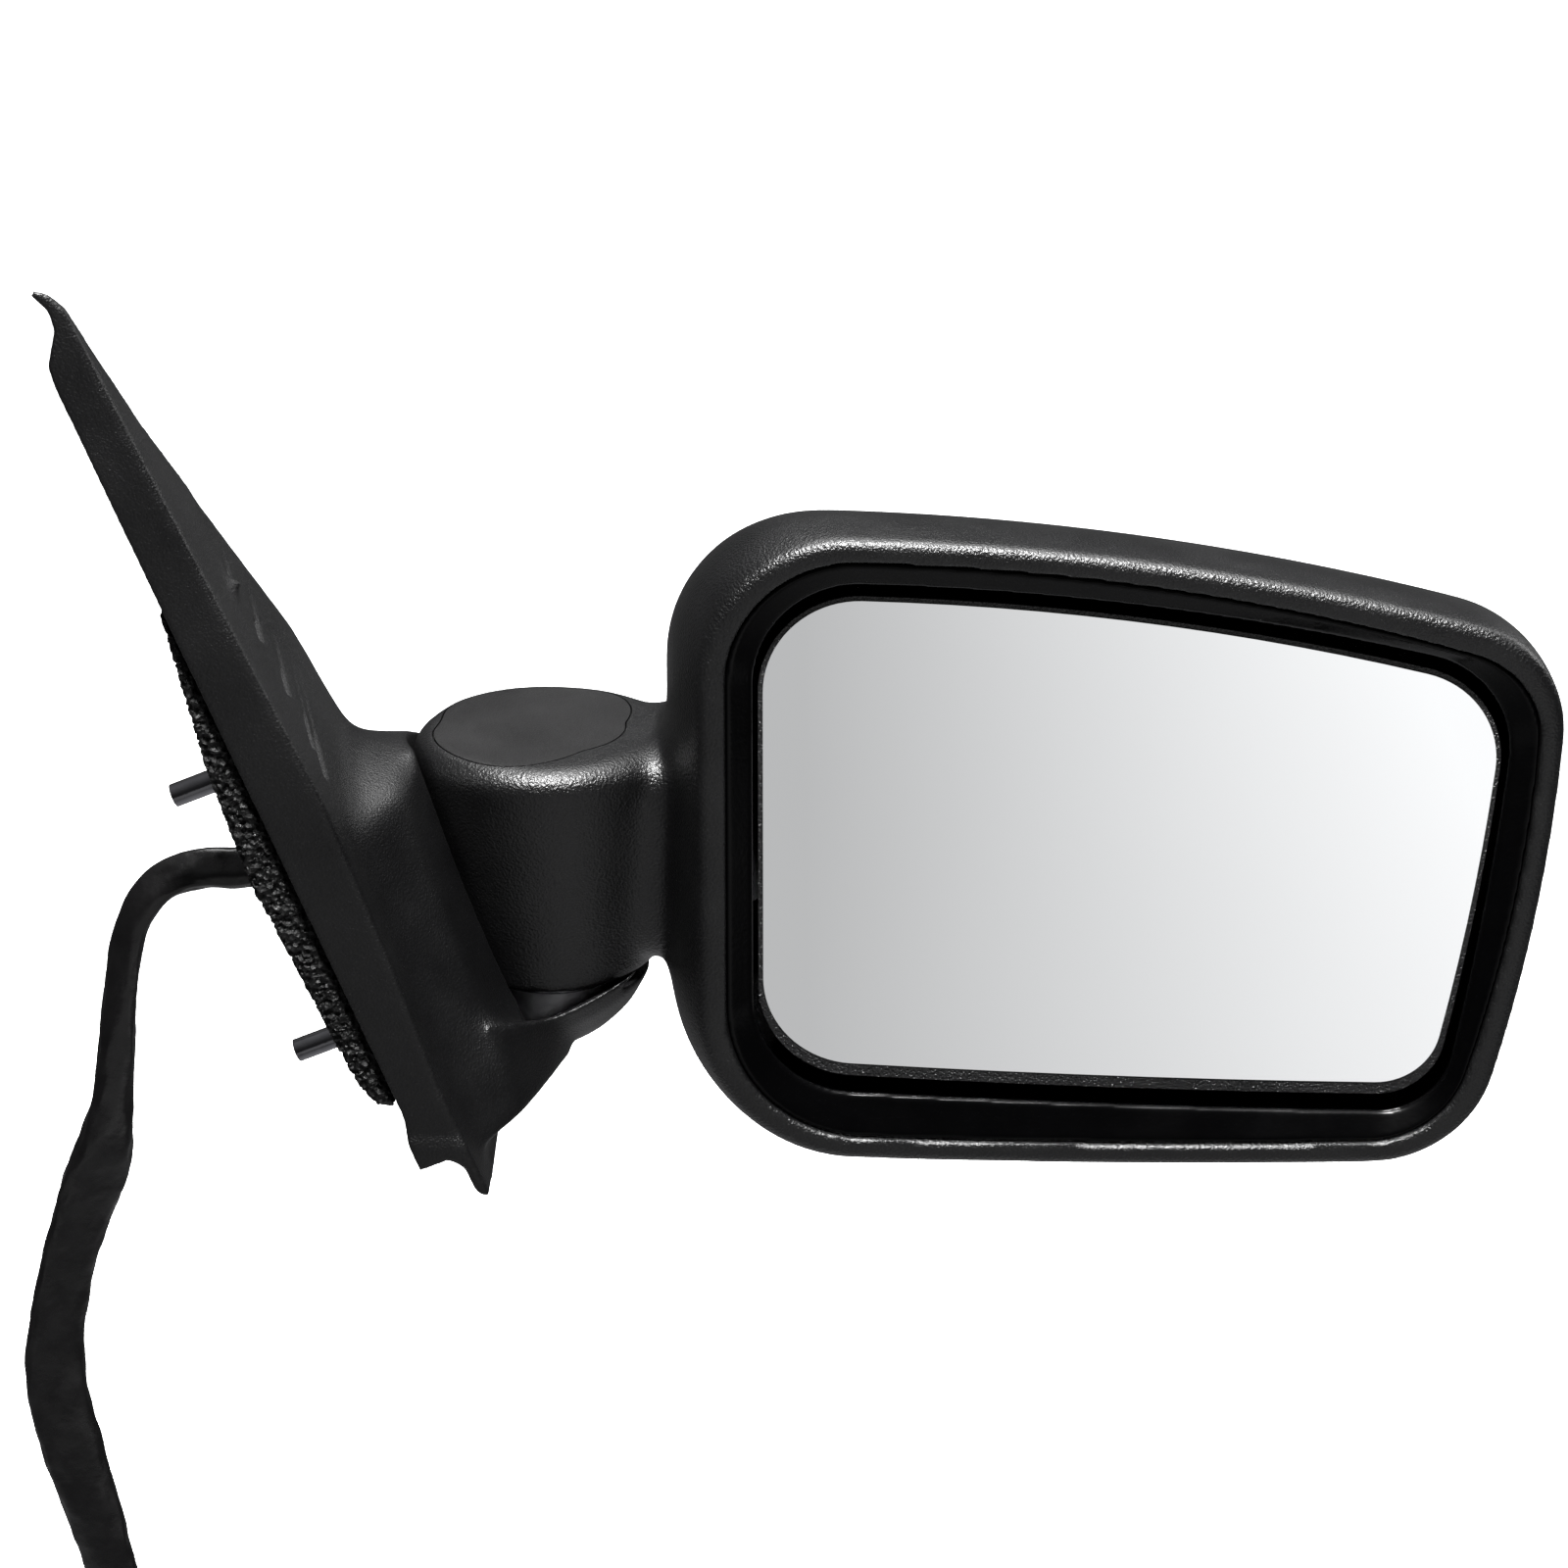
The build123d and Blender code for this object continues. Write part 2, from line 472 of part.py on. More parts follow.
def head_shell():
    outer = loft([shell_face(s, 0) for s in SECTIONS])
    arm = arm_solid(0)
    arm = fillet(arm.edges().filter_by(Axis.X), 8)
    knuckle = knuckle_solid()
    knuckle = fillet(knuckle.edges().sort_by(Axis.Z)[-1], KNUCKLE_EDGE)
    inner_sections = [(y, *rest) for y, *rest in SECTIONS]
    inner_sections[0] = (BEZEL_DEPTH, *SECTIONS[0][1:])
    inner_sections[-1] = (SECTIONS[-1][0] - SHELL_WALL, *SECTIONS[-1][1:])
    inner = loft([shell_face(s, SHELL_WALL + 0.6) for s in inner_sections])
    inner += push(lip_face(LIP_WIDTH, 0), -1, BEZEL_DEPTH + 2)
    low = KNUCKLE_BOTTOM + KNUCKLE_WALL
    room = [(0, KNUCKLE_TOP - KNUCKLE_WALL), (KNUCKLE_R_TOP - 6, KNUCKLE_TOP - KNUCKLE_WALL),
            (KNUCKLE_R_TOP - 4, KNUCKLE_TOP - 8), (KNUCKLE_R_BOTTOM - KNUCKLE_WALL + 0.4, low), (0, low)]
    plane = Plane(origin=(PX, PY, 0), x_dir=(1, 0, 0), z_dir=(0, -1, 0))
    cavity = revolve(plane * make_face(Polyline(*room, close=True)), axis=Axis((PX, PY, 0), (0, 0, 1)))
    shell = outer + (arm + knuckle) - inner - cavity - arm_solid(KNUCKLE_WALL)
    shell -= upright(RING_R + 1.2, KNUCKLE_BOTTOM - 1, low + 1)
    shell -= cap_solid(0.25, KNUCKLE_TOP - CAP_THICK, KNUCKLE_TOP + 2)
    shell -= upright(20, KNUCKLE_TOP - 6, KNUCKLE_TOP)
    shell = largest(shell)
    front = shell.faces().filter_by(Axis.Y).sort_by(Axis.Y)[0]
    return shell.fillet(LIP_ROUND, front.outer_wire().edges())


def cap_solid(grow, z0, z1):
    ratio = 1 + grow / CAP_HALF
    middle = (sum(x for x, y in CAP_EDGE) / len(CAP_EDGE), sum(y for x, y in CAP_EDGE) / len(CAP_EDGE))
    points = [(middle[0] + (x - middle[0]) * ratio, middle[1] + (y - middle[1]) * ratio) for x, y in CAP_EDGE]
    return extrude(Pos(0, 0, z0) * make_face(Spline(*points, periodic=True)), z1 - z0)


def pivot_cap():
    cap = cap_solid(0, KNUCKLE_TOP - CAP_THICK, KNUCKLE_TOP + 0.3)
    clips = upright(19.6, KNUCKLE_TOP - 5, KNUCKLE_TOP - CAP_THICK) - upright(17.6, KNUCKLE_TOP - 6, 0)
    cap = fillet(cap.edges().sort_by(Axis.Z)[-1], 0.5)
    return largest(cap + clips)


def opening_face(extra, y):
    return glass_face([g + extra for g in OPENING_GROW], y)


def bezel():
    """Funnel from the lip down to the opening, flared out again behind its edge."""
    body = push(lip_face(LIP_WIDTH + 0.05, 0), 0.8, BEZEL_DEPTH)
    funnel = loft([lip_face(LIP_WIDTH + 0.1, 0.7), opening_face(0, BEZEL_EDGE_Y)])
    mouth = push(opening_face(0, 0), BEZEL_EDGE_Y - 0.5, BEZEL_EDGE_Y + 1.6)
    rear = loft([opening_face(0, BEZEL_EDGE_Y + 1.5), opening_face(4, BEZEL_EDGE_Y + 4.5)])
    rear += push(opening_face(4, 0), BEZEL_EDGE_Y + 4.4, BEZEL_DEPTH + 1)
    return largest(body - funnel - mouth - rear)


def head_bracket():
    """Die-cast arm: hub on the pivot tube, arm through the neck, plate behind the actuator."""
    plan = [(PX, PY - 8), (118, PY - 4), (132, CASE_Y[1] + 0.5), (250, CASE_Y[1] + 0.5),
            (250, CASE_Y[1] + 5), (126, CASE_Y[1] + 5), (110, PY + 8), (PX, PY + 8)]
    face = make_face(Polyline(*plan, close=True))
    arm = Pos(0, 0, HUB_BOTTOM + 6) * extrude(face, HUB_TOP - HUB_BOTTOM - 6)
    body = arm + upright(HUB_R, HUB_BOTTOM, HUB_TOP) - upright(BUSH_R, HUB_BOTTOM - 1, HUB_TOP + 1)
    for x, z in bracket_screw_places():
        body -= rod(SCREW_R, (x, CASE_Y[1] - 1, z), (0, 1, 0), 12)
    return largest(body)


def bracket_screw_places():
    return [(GX + dx, z) for dx in (-40, 28) for z in (-48, -32)]


def screws_along_y(places, seat_y, length):
    """Screws whose heads face forward and seat at seat_y; shanks run to the rear."""
    screws = []
    for x, z in places:
        shank = rod(SCREW_R, (x, seat_y, z), (0, -1, 0), length)
        head = rod(SCREW_HEAD_R, (x, seat_y, z), (0, 1, 0), 2.4)
        screws.append((shank + head).solid())
    return Compound(children=screws)


def case_box(inset, y0, y1):
    x0, x1 = GX + CASE_X[0] + inset, GX + CASE_X[1] - inset
    z0, z1 = GZ + CASE_Z[0] + inset, GZ + CASE_Z[1] - inset
    box = block((x0, x1), (y0, y1), (z0, z1))
    return fillet(box.edges().filter_by(Axis.Y), 10 - inset)


def case_corner_places():
    return [(GX + CASE_X[0] + 7, GZ + CASE_Z[0] + 7), (GX + CASE_X[1] - 7, GZ + CASE_Z[0] + 7),
            (GX + CASE_X[0] + 7, GZ + CASE_Z[1] - 7), (GX + CASE_X[1] - 7, GZ + CASE_Z[1] - 7)]


def motor_axes():
    """Start point, direction of each worm and motor line."""
    far = ARM + GEAR_R + WORM_R + 0.4
    mid = (GEAR_Y[0] + GEAR_Y[1]) / 2
    return {"pan": ((GX - far, mid, GZ), (0, 0, 1)), "tilt": ((GX, mid, GZ - far), (1, 0, 0))}


def actuator_case():
    floor = CASE_Y[1]
    body = case_box(0, CASE_Y[0], floor) - case_box(CASE_WALL, CASE_Y[0] - 1, floor - CASE_WALL)
    for x, z in case_corner_places():
        post = rod(4.5, (x, CASE_Y[0], z), (0, 1, 0), floor - CASE_Y[0] - 1)
        body += post - rod(SCREW_R, (x, CASE_Y[0], z), (0, 1, 0), 9)
    for x, z in bracket_screw_places():
        post = rod(4.5, (x, floor - 7, z), (0, 1, 0), 7)
        body += post
        body -= rod(SCREW_R, (x, floor - 6, z), (0, 1, 0), 8)
    for x, z in plunger_places().values():
        body += rod(6.5, (x, GEAR_Y[1] + 0.4, z), (0, 1, 0), floor - GEAR_Y[1] - 0.9)
        body -= rod(ROD_R + RUN_GAP, (x, GEAR_Y[1] - 1, z), (0, 1, 0), 40)
    return largest(body)


def actuator_cover():
    """Front plate with the two posts that carry the gimbal ring."""
    body = case_box(0, CASE_Y[0] - 2.4, CASE_Y[0])
    for x, z in plunger_places().values():
        body -= rod(ROD_R + 0.5, (x, CASE_Y[0] - 5, z), (0, 1, 0), 10)
    for x, z in case_corner_places():
        body -= rod(SCREW_R, (x, CASE_Y[0] - 5, z), (0, 1, 0), 10)
    for side in (-1, 1):
        z = GZ + side * (RING_OUT + 3.4)
        ear = block((GX - 4.5, GX + 4.5), (SWIVEL_Y - 4.5, CASE_Y[0] - 1), (z - 2, z + 2))
        body += ear - rod(TRUNNION_R + RUN_GAP, (GX, SWIVEL_Y, z - 3), (0, 0, 1), 6)
    return largest(body)


def actuator_screws():
    screws = []
    for x, z in case_corner_places():
        shank = rod(SCREW_R, (x, CASE_Y[0] - 2.4, z), (0, 1, 0), 11)
        head = rod(SCREW_HEAD_R, (x, CASE_Y[0] - 2.4, z), (0, -1, 0), 2)
        screws.append((shank + head).solid())
    return Compound(children=screws)


def plunger_places():
    return {"pan": (GX - ARM, GZ), "tilt": (GX, GZ - ARM)}


def plunger(name):
    x, z = plunger_places()[name]
    shank = rod(ROD_R, (x, SWIVEL_Y, z), (0, 1, 0), ROD_LENGTH)
    return shank + Pos(x, SWIVEL_Y, z) * Sphere(BALL_R)


def worm_wheel(name):
    """Wheel with straight teeth and a threaded bore that drives the plunger."""
    x, z = plunger_places()[name]
    y0, y1 = GEAR_Y
    wheel = rod(GEAR_R - 1.4, (x, y0, z), (0, 1, 0), y1 - y0)
    for k in range(GEAR_TEETH):
        angle = 360 * k / GEAR_TEETH
        tooth = Pos(GEAR_R - 1, 0, 0) * Box(2, 1.3, y1 - y0)
        wheel += Pos(x, (y0 + y1) / 2, z) * Rot(90, 0, 0) * Rot(0, 0, angle) * tooth
    return wheel - rod(ROD_R + RUN_GAP, (x, y0 - 1, z), (0, 1, 0), 10)


def worm(name):
    """Worm drawn as a row of thread crests on its core, bored for the motor shaft."""
    start, direction = motor_axes()[name]
    axis = Vector(*direction)
    origin = Vector(*start) - axis * (WORM_LENGTH / 2)
    body = rod(WORM_R - 1.1, origin, direction, WORM_LENGTH)
    for k in range(7):
        body += rod(WORM_R, origin + axis * (1 + 2.1 * k), direction, 1.0)
    return body - rod(1.0, origin - axis, direction, WORM_LENGTH + 2)


def motor(name):
    """Round can with a shaft that runs through the worm."""
    start, direction = motor_axes()[name]
    axis = Vector(*direction)
    origin = Vector(*start) + axis * (WORM_LENGTH / 2 + MOTOR_OFF)
    can = rod(MOTOR_R, origin, direction, MOTOR_LENGTH)
    shaft = rod(1.0, origin - axis * (WORM_LENGTH + MOTOR_OFF), direction, WORM_LENGTH + MOTOR_OFF + 1)
    return can + shaft


def gimbal_ring():
    ring = rod(RING_OUT, (GX, SWIVEL_Y - 3, GZ), (0, 1, 0), 6)
    ring -= rod(RING_IN, (GX, SWIVEL_Y - 4, GZ), (0, 1, 0), 8)
    for side in (-1, 1):
        ring += rod(TRUNNION_R, (GX, SWIVEL_Y, GZ + side * (RING_OUT - 2)), (0, 0, side), 7.2)
        ring += rod(TRUNNION_R, (GX + side * (RING_OUT - 2), SWIVEL_Y, GZ), (side, 0, 0), 7.2)
    return ring


def glass_holder():
    y0 = GLASS_Y + GLASS_THICK + HEATER_THICK
    plate = push(glass_face(HOLDER_GROW, 0), y0, y0 + HOLDER_THICK)
    rim = push(glass_face(HOLDER_GROW, 0), GLASS_Y + 0.3, y0 + 1) - push(glass_face((0.1,) * 4, 0), 0, y0)
    body = plate + rim
    for side in (-1, 1):
        x = GX + side * (RING_OUT + 3.4)
        ear = block((x - 2, x + 2), (y0 + 1, SWIVEL_Y + 4.5), (GZ - 4.5, GZ + 4.5))
        body += ear - rod(TRUNNION_R + RUN_GAP, (x - 3, SWIVEL_Y, GZ), (1, 0, 0), 6)
    for x, z in plunger_places().values():
        body += rod(CUP_R_OUT, (x, y0 + 1, z), (0, 1, 0), SWIVEL_Y + 2.5 - y0 - 1)
        body -= rod(CUP_R_IN, (x, SWIVEL_Y - BALL_R - 1, z), (0, 1, 0), 20)
    return largest(body)


# ================================================================ harness
def sleeve_path():
    points = [Vector(*p) for p in ROUTE]
    radii = []
    for before, here, after in zip(points, points[1:], points[2:]):
        a, b = here - before, after - here
        turn = radians(a.get_angle(b))
        radii.append(0.45 * min(a.length, b.length) / tan(turn / 2))
    return FilletPolyline(*points, radius=radii), radii


def cable_sleeve():
    path, radii = sleeve_path()
    wire = path.wire() if hasattr(path, "wire") else path
    start = Plane(origin=wire @ 0, z_dir=wire % 0)
    tube = sweep(start * Circle(SLEEVE_R), path=wire)
    print("sleeve radii", [round(r, 1) for r in radii], "length", round(wire.length, 1))
    print("volume ratio", round(tube.volume / (pi * SLEEVE_R ** 2 * wire.length), 4))
    return tube


def plug_axes():
    end, before = Vector(*ROUTE[-1]), Vector(*ROUTE[-2])
    return Plane(origin=end, x_dir=(0, 1, 0), z_dir=end - before)


def sleeve_tape():
    here = plug_axes()
    return here * (extrude(Circle(SLEEVE_R + 0.6), TAPE) - Pos(0, 0, -1) * extrude(Circle(2.0), TAPE + 2))


def connector_housing():
    """Shell of the plug, with two ears that carry the latch lever."""
    width, depth, length = PLUG
    body = Pos(0, 0, TAPE) * extrude(RectangleRounded(width, depth, 2), length)
    for side in (-1, 1):
        body += Pos(side * 5.2, depth / 2 + 1.6, LATCH_PIVOT) * Box(2, 3.4, 4)
    body -= Pos(0, 0, TAPE + 10) * extrude(RectangleRounded(width - 3, depth - 3, 1.2), length)
    body -= latch_pin(LATCH_PIN_R + RUN_GAP, 20)
    return largest(plug_axes() * body)


def latch_pin(radius, length):
    return Pos(0, PLUG[1] / 2 + LATCH_LIFT, LATCH_PIVOT) * Rot(0, 90, 0) * Cylinder(radius, length)


def connector_pins():
    pins = []
    for row in range(PIN_ROWS):
        for column in range(PIN_COLUMNS):
            x = (column - (PIN_COLUMNS - 1) / 2) * 4.6
            y = (row - (PIN_ROWS - 1) / 2) * 5.0
            pins.append((plug_axes() * (Pos(x, y, TAPE + 10 + 4) * Box(1.0, 1.0, 8))).solid())
    return Compound(children=pins)


def connector_latch():
    """Rocking lever: thumb pad at the cable end, hook at the mouth end."""
    surface = PLUG[1] / 2
    lever = Pos(0, surface + LATCH_LIFT, LATCH_PIVOT + 2) * Box(7.6, 1.4, 20)
    pad = Pos(0, surface + LATCH_LIFT + 1, LATCH_PIVOT - 6.5) * Box(7.6, 1.6, 3)
    return plug_axes() * (lever + pad + latch_pin(LATCH_PIN_R, 12))


def build_nodes():
    y1 = GLASS_Y + GLASS_THICK
    place = bracket_screw_places()
    nodes = {
        "sail_cover": sail_cover(), "base_bracket": base_bracket(), "mounting_studs": mounting_studs(),
        "base_screws": base_screws(), "foam_gasket": foam_gasket(), "harness_grommet": harness_grommet(),
        "pivot_tube": pivot_tube(),
        "detent_ring_lower": detent_ring(PEDESTAL_TOP, -68.0, RING_R, TUBE_R, 1.2),
        "spring_retainer": upright(14.5, -17.5, -14.5) - upright(TUBE_R, -18, -14),
        "fold_spring": fold_spring(),
        "detent_ring_upper": detent_ring(-68.0 + 1.2 + 0.3, HUB_BOTTOM, RING_R, TUBE_R + 0.3),
        "pivot_bush": (upright(BUSH_R, HUB_BOTTOM, HUB_TOP)
                       - upright(TUBE_R + BUSH_GAP, HUB_BOTTOM - 1, HUB_TOP + 1)),
        "spring_washer": upright(16, HUB_TOP, HUB_TOP + 1) - upright(TUBE_R + 0.3, HUB_TOP - 1, HUB_TOP + 2),
        "head_shell": head_shell(), "pivot_cap": pivot_cap(), "bezel": bezel(),
        "head_bracket": head_bracket(),
        "bracket_screws": screws_along_y(place, CASE_Y[1] + 5, 10),
        "actuator_case": actuator_case(), "actuator_cover": actuator_cover(),
        "actuator_screws": actuator_screws(),
        "pan_ring": gimbal_ring(), "glass_holder": glass_holder(),
        "mirror_glass": push(glass_face((0, 0, 0, 0), 0), GLASS_Y, y1),
        "heater_pad": push(glass_face((-2, -2, -2, -2), 0), y1, y1 + HEATER_THICK),
        "cable_sleeve": cable_sleeve(), "sleeve_tape": sleeve_tape(),
        "connector_housing": connector_housing(), "connector_pins": connector_pins(),
        "connector_latch": connector_latch(),
    }
    for name in plunger_places():
        nodes["plunger_" + name] = plunger(name)
        nodes["gear_" + name] = worm_wheel(name)
        nodes["worm_" + name] = worm(name)
        nodes["motor_" + name] = motor(name)
    return nodes


os.makedirs("parts", exist_ok=True)
for node_name, shape in build_nodes().items():
    export_step(shape, "parts/" + node_name + ".step")
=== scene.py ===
import json
import math
import bpy
import bmesh
import numpy as np
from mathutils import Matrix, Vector, noise


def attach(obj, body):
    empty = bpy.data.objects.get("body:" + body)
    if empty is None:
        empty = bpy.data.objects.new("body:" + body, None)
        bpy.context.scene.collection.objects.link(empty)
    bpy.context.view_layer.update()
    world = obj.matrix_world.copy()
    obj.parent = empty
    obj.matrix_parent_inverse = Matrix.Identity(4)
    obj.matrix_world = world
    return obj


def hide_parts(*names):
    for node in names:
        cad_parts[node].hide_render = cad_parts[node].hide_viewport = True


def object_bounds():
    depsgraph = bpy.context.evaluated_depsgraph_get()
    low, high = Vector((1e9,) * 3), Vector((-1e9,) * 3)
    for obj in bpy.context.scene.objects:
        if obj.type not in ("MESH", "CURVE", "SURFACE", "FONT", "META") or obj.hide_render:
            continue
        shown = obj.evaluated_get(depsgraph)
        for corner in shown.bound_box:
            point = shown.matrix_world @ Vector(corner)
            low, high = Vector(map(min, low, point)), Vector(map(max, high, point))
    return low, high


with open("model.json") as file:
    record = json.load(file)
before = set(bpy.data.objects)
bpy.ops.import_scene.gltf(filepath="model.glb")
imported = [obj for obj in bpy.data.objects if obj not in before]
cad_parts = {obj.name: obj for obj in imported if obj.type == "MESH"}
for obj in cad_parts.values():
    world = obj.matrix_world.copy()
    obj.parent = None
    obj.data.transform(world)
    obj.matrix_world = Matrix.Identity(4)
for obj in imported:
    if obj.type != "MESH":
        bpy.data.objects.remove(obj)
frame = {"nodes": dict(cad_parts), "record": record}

MM = 0.001
NODES = frame["nodes"]
CAD_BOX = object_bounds()
LEAN = math.radians(22.0)                       # door plane, from vertical
OUT = np.array([math.cos(LEAN), 0.0, math.sin(LEAN)])      # off the door
UP = np.array([-math.sin(LEAN), 0.0, math.cos(LEAN)])      # up the slope
PIVOT = np.array([69.5, 40.0])                  # fold axis, X and Y in mm

CAMERA_ELEVATION = math.radians(21.0)
CAMERA_TARGET = Vector((0.1298, 0.0, -0.0059))
CAMERA_DISTANCE, CAMERA_WIDTH = 1.15, 0.3904    # metres from the target, width seen there
SENSOR = 36.0
FLOOR_DROP, FLOOR_SIDE = 0.05, 14               # floor below the lowest point, and its side, metres
CARD_SIZE, CARD_LIFT = (1.4, 1.0), 0.002
CARD_DARK, CARD_LIGHT = 0.52, 1.04
# area lights: name, place, target, size (metres) and power (watts)
LIGHTS = [("key", (0.1, -0.75, 1.45), (0.15, 0, 0), (0.26, 0.15), 150),
          ("top", (0.3, 0.4, 1.8), (0.15, 0, 0), (1.8, 1.4), 60),
          ("side", (1.7, 1.1, 0.7), (0.0, 0, 0), (0.8, 0.8), 12)]
# tone of the dome from straight down (0) to straight up (1)
DOME_STOPS = [(0.0, 0.95), (0.2, 0.22), (0.42, 0.08), (0.50, 0.07), (0.64, 0.12), (0.82, 0.35),
              (1.0, 0.8)]

HEAD_VOXEL, BEZEL_VOXEL, SAIL_VOXEL, FOAM_VOXEL = 1.0, 0.7, 0.65, 0.7      # mm
# prisms on the pivot cap's outline: growth, lowest and highest Z, mm
CAP_PLUG, CAP_KEEP, CAP_SEAT = (1.0, -24, -5.5), (-0.2, -7.6, 0), (0.25, -7.4, 0)
CAP_SECTORS = 120
CRISP_ANGLE = math.radians(35)
BEVEL_ANGLE, BEVEL_WIDTH = math.radians(40), 0.25                          # width in mm


# ---------------------------------------------------------------- camera, studio
def aim(obj, target):
    obj.rotation_euler = (Vector(target) - obj.location).to_track_quat("-Z", "Y").to_euler()


def add_camera():
    camera = bpy.data.objects.new("camera", bpy.data.cameras.new("camera"))
    bpy.context.scene.collection.objects.link(camera)
    arm = Vector((0, -math.cos(CAMERA_ELEVATION), math.sin(CAMERA_ELEVATION)))
    camera.location = CAMERA_TARGET + CAMERA_DISTANCE * arm
    aim(camera, CAMERA_TARGET)
    camera.data.sensor_width = SENSOR
    camera.data.lens = SENSOR * CAMERA_DISTANCE / CAMERA_WIDTH
    camera.data.clip_start = 0.05
    bpy.context.scene.camera = camera


def add_area(name, place, target, size, power):
    light = bpy.data.objects.new(name, bpy.data.lights.new(name, "AREA"))
    light.data.shape = "RECTANGLE"
    light.data.size, light.data.size_y = size
    light.data.energy = power
    light.location = place
    aim(light, target)
    bpy.context.scene.collection.objects.link(light)


def emission(name):
    """A glowing material, with its nodes, links and Emission node."""
    mat = bpy.data.materials.new(name)
    mat.use_nodes = True
    nodes, links = mat.node_tree.nodes, mat.node_tree.links
    nodes.clear()
    out = nodes.new("ShaderNodeOutputMaterial")
    glow = nodes.new("ShaderNodeEmission")
    links.new(glow.outputs[0], out.inputs[0])
    return mat, nodes, links, glow


def add_plane(name, centre, size, mat):
    mesh = bpy.data.meshes.new(name)
    x, y = size[0] / 2, size[1] / 2
    mesh.from_pydata([(-x, -y, 0), (x, -y, 0), (x, y, 0), (-x, y, 0)], [], [(0, 1, 2, 3)])
    obj = bpy.data.objects.new(name, mesh)
    obj.location = centre
    mesh.materials.append(mat)
    bpy.context.scene.collection.objects.link(obj)
    return obj


def add_world():
    """Soft dome: bright overhead, dim towards the horizon and brighter behind the object."""
    world = bpy.data.worlds.new("studio")
    bpy.context.scene.world = world
    world.use_nodes = True
    nodes, links = world.node_tree.nodes, world.node_tree.links
    coord = nodes.new("ShaderNodeTexCoord")
    split = nodes.new("ShaderNodeSeparateXYZ")
    height = nodes.new("ShaderNodeMapRange")
    back = nodes.new("ShaderNodeMapRange")
    ramp = nodes.new("ShaderNodeValToRGB")
    links.new(coord.outputs["Generated"], split.inputs[0])
    links.new(split.outputs[2], height.inputs["Value"])
    height.inputs["From Min"].default_value = -1.0
    links.new(height.outputs[0], ramp.inputs[0])
    links.new(ramp.outputs[0], nodes["Background"].inputs[0])
    links.new(split.outputs[1], back.inputs["Value"])
    back.inputs["From Min"].default_value = -0.3
    back.inputs["To Min"].default_value = 0.8
    back.inputs["To Max"].default_value = 1.05
    links.new(back.outputs[0], nodes["Background"].inputs[1])
    dome = ramp.color_ramp
    while len(dome.elements) < len(DOME_STOPS):
        dome.elements.new(0.5)
    for stop, (place, tone) in zip(dome.elements, DOME_STOPS):
        stop.position, stop.color = place, (tone, tone, tone * 1.02, 1)


def add_studio():
    bpy.context.scene.view_settings.view_transform = "Standard"
    add_world()
    floor_z = CAD_BOX[0][2] - FLOOR_DROP
    floor = Surface("floor", (0.94, 0.94, 0.94), 0.9, specular=0.1)
    floor.set("Emission Color", (1, 1, 1, 1))
    floor.set("Emission Strength", 0.35)
    ground = add_plane("floor", (0.13, 0, floor_z), (FLOOR_SIDE, FLOOR_SIDE), floor.mat)
    ground.visible_glossy = False
    ground.visible_diffuse = False
    # graded card under the camera, seen only in the glass
    card, nodes, links, glow = emission("graded_card")
    coord = nodes.new("ShaderNodeTexCoord")
    split = nodes.new("ShaderNodeSeparateXYZ")
    ramp = nodes.new("ShaderNodeValToRGB")
    span = nodes.new("ShaderNodeMapRange")
    links.new(coord.outputs["Object"], split.inputs[0])
    links.new(split.outputs[0], span.inputs["Value"])
    span.inputs["From Min"].default_value = -0.12
    span.inputs["From Max"].default_value = 0.20
    ramp.color_ramp.elements[0].color = (CARD_DARK, CARD_DARK, CARD_DARK, 1)
    ramp.color_ramp.elements[1].color = (CARD_LIGHT, CARD_LIGHT, CARD_LIGHT, 1)
    links.new(span.outputs[0], ramp.inputs[0])
    links.new(ramp.outputs[0], glow.inputs["Color"])
    plane = add_plane("graded_card", (0.26, -0.95, floor_z + CARD_LIFT), CARD_SIZE, card)
    plane.visible_camera = False
    plane.visible_diffuse = False
    plane.visible_shadow = False
    for light in LIGHTS:
        add_area(*light)


